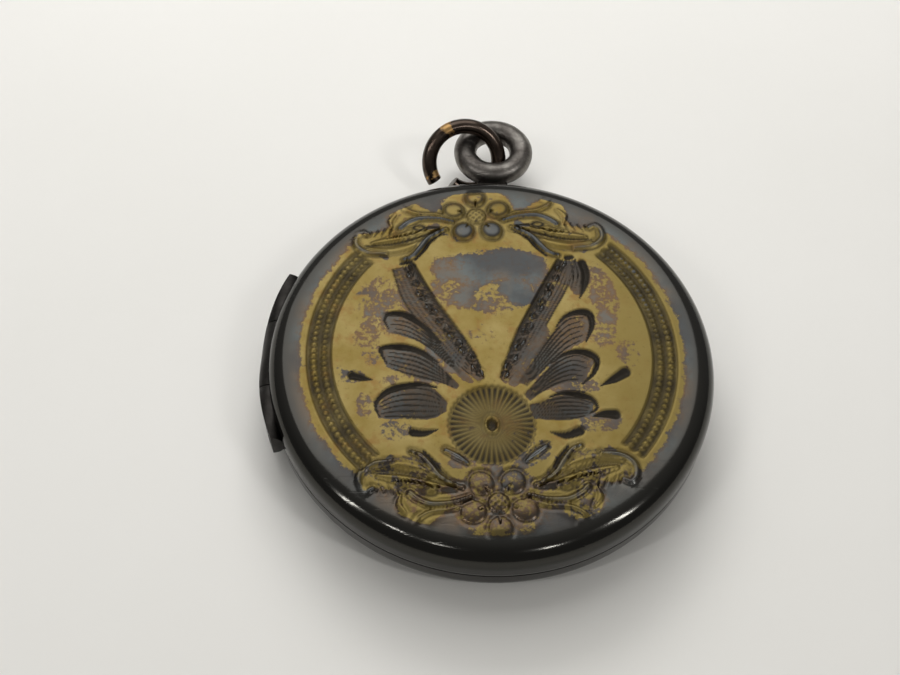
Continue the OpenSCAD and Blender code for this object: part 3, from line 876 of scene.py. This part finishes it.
def front_cover(material):
    """The stamped and engraved front. A square grid is drawn out into rings, so that the small work has a
    vertex at every tenth of a millimetre, and the relief is pressed into it."""
    rings = front_steps()
    count = len(rings) - 1
    obj = primitive("front_cover_stamped", bpy.ops.mesh.primitive_grid_add,
                    x_subdivisions=2 * count, y_subdivisions=2 * count, size=2)
    a, b, _ = (vertex_places(obj) * MM).T
    sideways = np.abs(a) >= np.abs(b)
    far, near = np.where(sideways, a, b), np.where(sideways, b, a)
    share = math.pi / 4 * near / np.where(far == 0, 1, far)
    angle = np.where(sideways, np.where(a < 0, math.pi, 0) + share,
                     np.where(b < 0, -math.pi, 0) + math.pi / 2 - share)
    ring = np.abs(far) * count
    radius = np.interp(ring, np.arange(count + 1), rings[:, 0])
    height = np.interp(ring, np.arange(count + 1), rings[:, 1])
    xyz = np.stack([radius * np.cos(angle), radius * np.sin(angle), height], 1)
    relief = draw_pattern(*pattern_place(xyz))
    xyz[:, 2] += np.clip(relief.height, -0.25, 0.3) * step(CORE_R - radius, 0, 0.6)
    xyz[:, 2] = np.minimum(xyz[:, 2], RELIEF_TOP)
    move_vertices(obj, xyz)

    # the edge is turned in, and closed inside above the hidden linings
    bpy.ops.object.mode_set(mode="EDIT")
    bpy.ops.mesh.select_mode(type="EDGE")
    bpy.ops.mesh.select_all(action="DESELECT")
    bpy.ops.mesh.select_non_manifold()
    start = CASE_R - EDGE_BEVEL
    for inner, rise in ((CASE_R - SHEET, 0.0), (CASE_R - SHEET, WALL_H), (CORE_R + 0.85, 0.75)):
        bpy.ops.mesh.extrude_edges_move()
        bpy.ops.transform.resize(value=(inner / start, inner / start, 1), center_override=(0, 0, 0))
        bpy.ops.transform.translate(value=(0, 0, rise * MM))
        start = inner
    bpy.ops.mesh.edge_face_add()
    bpy.ops.mesh.select_mode(type="VERT")
    bpy.ops.object.mode_set(mode="OBJECT")
    outward(obj)
    cut_hinge_room(obj, KNUCKLE_R + SOLDERED, KNUCKLE_R + TURNING)

    # what the gilding material needs to know at each vertex
    xyz = vertex_places(obj)
    u, v = pattern_place(xyz)
    relief = draw_pattern(u, v)
    radius = np.hypot(xyz[:, 0], xyz[:, 1])
    outside = (radius < 14.35) & (xyz[:, 2] > 4.9)
    set_mask(obj, "gilding", np.where(outside, relief.gild, -1.5))
    set_mask(obj, "recess", np.clip(relief.recess, 0, 1) * outside)
    set_mask(obj, "rub", np.clip(relief.rub, 0, 1) * outside)
    set_mask(obj, "rim", step(radius, 13.4, 14.9))
    # painted shade for the gilding: darker towards the foot, and at 0.8 strength down the right side
    set_mask(obj, "foot", np.maximum(step(-v, 6.5, 10.5), 0.8 * step(u, 5.5, 10.5)))
    smooth(obj, 60)
    return place(obj, "front_half", "front_cover", material)


# ---------------------------------------------------------------- the back and the linings
def back_cover(material):
    """The pressed back: a flat rest field, a round shoulder and a straight wall."""
    shoulder = (CORE_R, BACK_RISE + SHOULDER_R)
    profile = [(REST_R - 2, 0.0), (REST_R, 0.0), (CORE_R, BACK_RISE)]
    profile += arc(shoulder, SHOULDER_R, -90, 0, 24)[1:]
    profile += [(CASE_R, PARTING_Z - EDGE_BEVEL), (CASE_R - EDGE_BEVEL, PARTING_Z), (CASE_R - SHEET, PARTING_Z)]
    profile += arc(shoulder, SHOULDER_R - SHEET, 0, -90, 16)
    profile += [(REST_R, SHEET)]
    obj = turned("back_cover_plate", profile, capped=True, segments=384)
    cut_hinge_room(obj, KNUCKLE_R + TURNING, KNUCKLE_R + SOLDERED)
    smooth(obj)
    return place(obj, "back_half", "back_cover", material)


def from_parting(section, up):
    """A section whose heights are from the parting plane, as a profile: up is 1 in the front, -1 in the back."""
    return [(r, PARTING_Z + up * h) for r, h in section]


def linings(material):
    """The turned rims inside both shells, with the seats of the frames and the slot or groove of the lip."""
    inner = SHOULDER_R - SHEET - SOLDERED
    top = arc((CORE_R, WALL_H), inner, 0, math.degrees(math.asin(0.55 / inner)), 6)
    for side, up, slot_in_r, slot_h, slot_out_r, middle_gap, outer_gap in (
        ("front", 1, 14.3, 0.8, 15.1, SOLDERED, TURNING),
        ("back", -1, 14.54, 0.7, 15.01, TURNING, SOLDERED),
    ):
        section = [(SEAT_R, 0.05), (slot_in_r, 0.05), (slot_in_r, slot_h), (slot_out_r, slot_h),
                   (slot_out_r, 0.0), (RIM_OUT_R, 0.0)] + top
        section += [(LEDGE_R, 1.45), (LEDGE_R, LEDGE_H), (SEAT_R, LEDGE_H)]
        obj = turned(f"{side}_rim_turned", from_parting(section, up))
        round_edges(obj, 0.05, 2, 50)
        outward(obj)
        cut_hinge_room(obj, KNUCKLE_R + middle_gap, KNUCKLE_R + outer_gap)
        smooth(obj)
        place(obj, f"{side}_half", f"{side}_rim", material)


def snap_lip(material):
    """The spring lip that the front closes over, cut away along the hinge."""
    z0, z1 = PARTING_Z - 0.7, PARTING_Z + 0.65
    obj = turned("snap_lip_turned", [(14.55, z0), (15.0, z0), (15.0, z1 - 0.25), (14.97, z1 - 0.08),
                                     (14.86, z1), (14.7, z1), (14.58, z1 - 0.07), (14.55, z1 - 0.2)])
    cut(obj, primitive("cutter", bpy.ops.mesh.primitive_cube_add, size=1,
                       location=(-14 * MM, 0, PARTING_Z * MM), scale=(10 * MM, 40 * MM, 6 * MM)))
    smooth(obj)
    return place(obj, "back_half", "snap_lip", material)


def picture_wells(gilt, glass, picture, card):
    """In each half a beaded press-in frame over a pane of glass. The cards behind stay as the CAD has them."""
    bead = arc((12.48, 0.225), 0.175, -35, -270, 14)
    section = [(13.38, 0.4), (13.38, 0.1), (13.34, 0.06), (12.86, 0.05), (12.72, 0.1), (12.66, 0.16)] + bead
    pane_section = [(13.22, 0.4), (13.3, 0.46), (13.3, 0.74), (13.22, 0.8)]
    for side, up in (("front", 1), ("back", -1)):
        body = f"{side}_half"
        ring = turned(f"{side}_photograph_frame", from_parting(section, up))
        smooth(ring, 40)
        place(ring, body, f"{side}_frame", gilt)
        pane = turned(f"{side}_window_glass", from_parting(pane_section, up), capped=True, segments=128)
        smooth(pane, 30)
        place(pane, body, f"{side}_lens", glass)
        coat(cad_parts[f"{side}_photo_card"].data, picture)
        coat(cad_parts[f"{side}_backing_card"].data, card)


# ---------------------------------------------------------------- hinge
def knuckle(name, y0, y1, bore_r, body, node, material):
    """A length of hinge tube, filed off outside to follow the case's curve."""
    obj = barrel(name, KNUCKLE_R, y0, y1, 128)
    cut(obj, primitive("envelope", bpy.ops.mesh.primitive_cylinder_add, vertices=720, radius=HINGE_OUT_R * MM,
                       depth=8 * MM, location=(0, 0, PARTING_Z * MM)), "INTERSECT")
    cut(obj, barrel("bore", bore_r, y0 - 1, y1 + 1, 48))
    round_edges(obj, 0.14, 3, 50)
    smooth(obj, 30)
    return place(obj, body, node, material)


def hinge(plate, wire):
    knuckle("knuckle_middle_barrel", -2.67, 2.67, 0.3, "front_half", "knuckle_middle", plate)
    knuckle("knuckle_bail_side_barrel", 2.73, HINGE_HALF, 0.26, "back_half", "knuckle_bail_side", plate)
    knuckle("knuckle_far_side_barrel", -HINGE_HALF, -2.76, 0.26, "back_half", "knuckle_far_side", plate)
    coat(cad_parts["hinge_pin"].data, wire)


# ---------------------------------------------------------------- bail and jump ring
def bail(wire):
    """The closed ring of hand-finished wire, a few hundredths of a millimetre out of true."""
    ring = primitive("bail_ring_wire", bpy.ops.mesh.primitive_torus_add, major_segments=144, minor_segments=48,
                     major_radius=BAIL_R * MM, minor_radius=BAIL_WIRE_R * MM,
                     location=(0, BAIL_Y * MM, BAIL_Z * MM))
    xyz = vertex_places(ring)
    angle = np.arctan2(xyz[:, 1] - BAIL_Y, xyz[:, 0])
    swell = 0.99 * (1 + 0.012 * np.sin(3 * angle + 1.1) + 0.008 * np.sin(7 * angle))
    middle = np.stack([BAIL_R * np.cos(angle), BAIL_Y + BAIL_R * np.sin(angle), np.full_like(angle, BAIL_Z)], 1)
    move_vertices(ring, middle + (xyz - middle) * swell[:, None])
    smooth(ring, 60)
    place(ring, "back_half", "bail_ring", wire)


def bail_foot(plate):
    """The soldered block between bail and case, drawn in towards the bail."""
    foot = primitive("bail_foot_solder", bpy.ops.mesh.primitive_cube_add, size=1,
                     location=[c * MM for c in BAIL_FOOT], scale=(3.2 * MM, 2.3 * MM, 1.25 * MM))
    bpy.ops.object.mode_set(mode="EDIT")
    bpy.ops.mesh.select_all(action="DESELECT")
    bpy.ops.object.mode_set(mode="OBJECT")
    for face in foot.data.polygons:
        face.select = face.normal.y > 0.9
    bpy.ops.object.mode_set(mode="EDIT")
    bpy.ops.transform.resize(value=(1.1 / 1.6, 1, 1), center_override=(0, 17.8 * MM, BAIL_FOOT[2] * MM))
    bpy.ops.object.mode_set(mode="OBJECT")
    round_edges(foot, 0.16, 3, 30)
    outward(foot)
    smooth(foot, 40)
    place(foot, "back_half", "bail_foot", plate)


def jump_ring(material):
    """Round wire bent round in a big arc and hooked back on itself in a smaller one. It is bent flat at the
    origin and then laid in the bail."""
    start, turn_at = math.radians(214), math.radians(5)
    hook_off = 0.54                 # from the big arc's centre to the hook's
    obj = primitive("jump_ring_wire", bpy.ops.mesh.primitive_circle_add, vertices=40, radius=JUMP_WIRE_R * MM,
                    location=(JUMP_R * MM * math.cos(start), JUMP_R * MM * math.sin(start), 0),
                    rotation=(math.pi / 2, 0, start))
    edit_all()
    bpy.ops.mesh.spin(steps=150, angle=math.radians(209), center=(0, 0, 0), axis=(0, 0, 1))
    bpy.ops.mesh.spin(steps=96, angle=math.radians(134), axis=(0, 0, 1),
                      center=(hook_off * MM * math.cos(turn_at), hook_off * MM * math.sin(turn_at), 0))
    bpy.ops.mesh.select_all(action="SELECT")
    bpy.ops.mesh.fill_holes(sides=0)
    bpy.ops.object.mode_set(mode="OBJECT")
    outward(obj)
    round_edges(obj, 0.09, 3, 60)

    # gilding is left on the big arc's crown and near its free end
    xyz = vertex_places(obj)
    angle = np.degrees(np.arctan2(xyz[:, 1], xyz[:, 0]))
    crown = 0.62 * line_at(angle - 118, 15) * (xyz[:, 2] > 0.0)
    free_end = 0.6 * line_at(angle + 158, 12) * (xyz[:, 2] > -0.2)
    set_mask(obj, "gilding", np.maximum(crown, free_end))
    obj.matrix_world = (Matrix.Translation((-2.35 * MM, 19.65 * MM, 2.45 * MM))
                        @ Matrix.Rotation(math.radians(48), 4, "X") @ Matrix.Rotation(math.radians(10.5), 4, "Y"))
    settle(obj)
    smooth(obj, 50)
    return place(obj, "loose_ring", "jump_ring", material)


# ---------------------------------------------------------------- table, light and camera
def table():
    obj = primitive("table_top", bpy.ops.mesh.primitive_plane_add, size=3.0, location=(0, 0, -0.00002))
    coat(obj.data, table_laminate())


def toward(azimuth, elevation):
    """Unit direction: azimuth from +Y towards +X, elevation above the table, in degrees."""
    a, e = math.radians(azimuth), math.radians(elevation)
    return np.array([math.sin(a) * math.cos(e), math.cos(a) * math.cos(e), math.sin(e)])


def area_light(name, azimuth, elevation, distance, size, watts):
    """A soft window at a distance in metres, facing the locket."""
    data = bpy.data.lights.new(name, "AREA")
    data.shape = "RECTANGLE"
    data.size, data.size_y = size
    data.energy = watts
    lamp = bpy.data.objects.new(name, data)
    bpy.context.scene.collection.objects.link(lamp)
    z = toward(azimuth, elevation)
    x = np.cross([0, 0, 1], z)
    x /= np.linalg.norm(x)
    y = np.cross(z, x)
    rows = [[x[i], y[i], z[i], z[i] * distance] for i in range(3)] + [[0, 0, 0, 1]]
    lamp.matrix_world = Matrix(rows)
    return lamp


def studio():
    """A soft studio: a pale room that is brightest low behind the table and dim above and in front."""
    world = bpy.data.worlds.new("soft_room")
    bpy.context.scene.world = world
    world.use_nodes = True
    t = world.node_tree
    t.nodes.clear()
    way = add(t, "ShaderNodeTexCoord", out="Generated")
    facing = add(t, "ShaderNodeVectorMath", {0: way, 1: tuple(toward(2, 44))}, "Value", operation="DOT_PRODUCT")
    glow = add(t, "ShaderNodeMapRange", {0: facing, 3: 0.165, 4: 0.4}, interpolation_type=SMOOTH)
    sky = add(t, "ShaderNodeBackground", {"Color": srgb("FBFAF7"), "Strength": glow})
    add(t, "ShaderNodeOutputWorld", {"Surface": sky})
    area_light("window_behind", -10, 55, 0.25, (0.3, 0.19), 0.26)
    low = area_light("low_behind", -8, 34, 0.3, (0.2, 0.1), 0.42)
    low.visible_glossy = False
    for name, azimuth, elevation, size, watts in (
        ("window_left", -117, 43, (0.045, 0.3), 1.4),
        ("window_front_left", -137, 52, (0.07, 0.08), 0.6),
        ("window_front", -159, 52, (0.06, 0.05), 0.4),
        ("window_front_right", 150, 46, (0.08, 0.06), 0.6),
        ("window_right", 116, 44, (0.07, 0.26), 1.8),
    ):
        window = area_light(name, azimuth, elevation, 1.2, size, watts)
        window.visible_diffuse = "front" not in name      # the front windows only glint on the metal


def camera():
    """A hand-held close-up lens, a hand's breadth above the locket and looking down on it."""
    data = bpy.data.cameras.new("camera")
    data.lens = 48
    data.sensor_width = 36
    data.clip_start = 0.001
    data.clip_end = 50
    obj = bpy.data.objects.new("camera", data)
    bpy.context.scene.collection.objects.link(obj)
    stand = (-3.029, -44.862, 77.739)              # mm
    right = (0.99946, 0.02776, 0.01751)
    up = (-0.03282, 0.84539, 0.53313)
    forward = (0.0, 0.53342, -0.84585)
    obj.matrix_world = Matrix([[right[i], up[i], -forward[i], stand[i] * MM] for i in range(3)] + [[0, 0, 0, 1]])
    bpy.context.scene.camera = obj


def build():
    plate = tarnished_plate()
    brass = inner_brass()
    front_cover(worn_gilding())
    back_cover(plate)
    linings(brass)
    snap_lip(brass)
    picture_wells(frame_gilding(), window_glass(),
                  paper("aged_photograph_paper", "D8CCB4", "A8916C", 0.08, 0.4),
                  paper("grey_board", "8E8578", "6E6455", 0.15, 0.85))
    hinge(hinge_metal(), pin_metal())
    bail(bail_metal())
    bail_foot(plate)
    jump_ring(jump_ring_metal())


build()
table()
studio()
camera()
bpy.context.scene.view_settings.view_transform = "Standard"
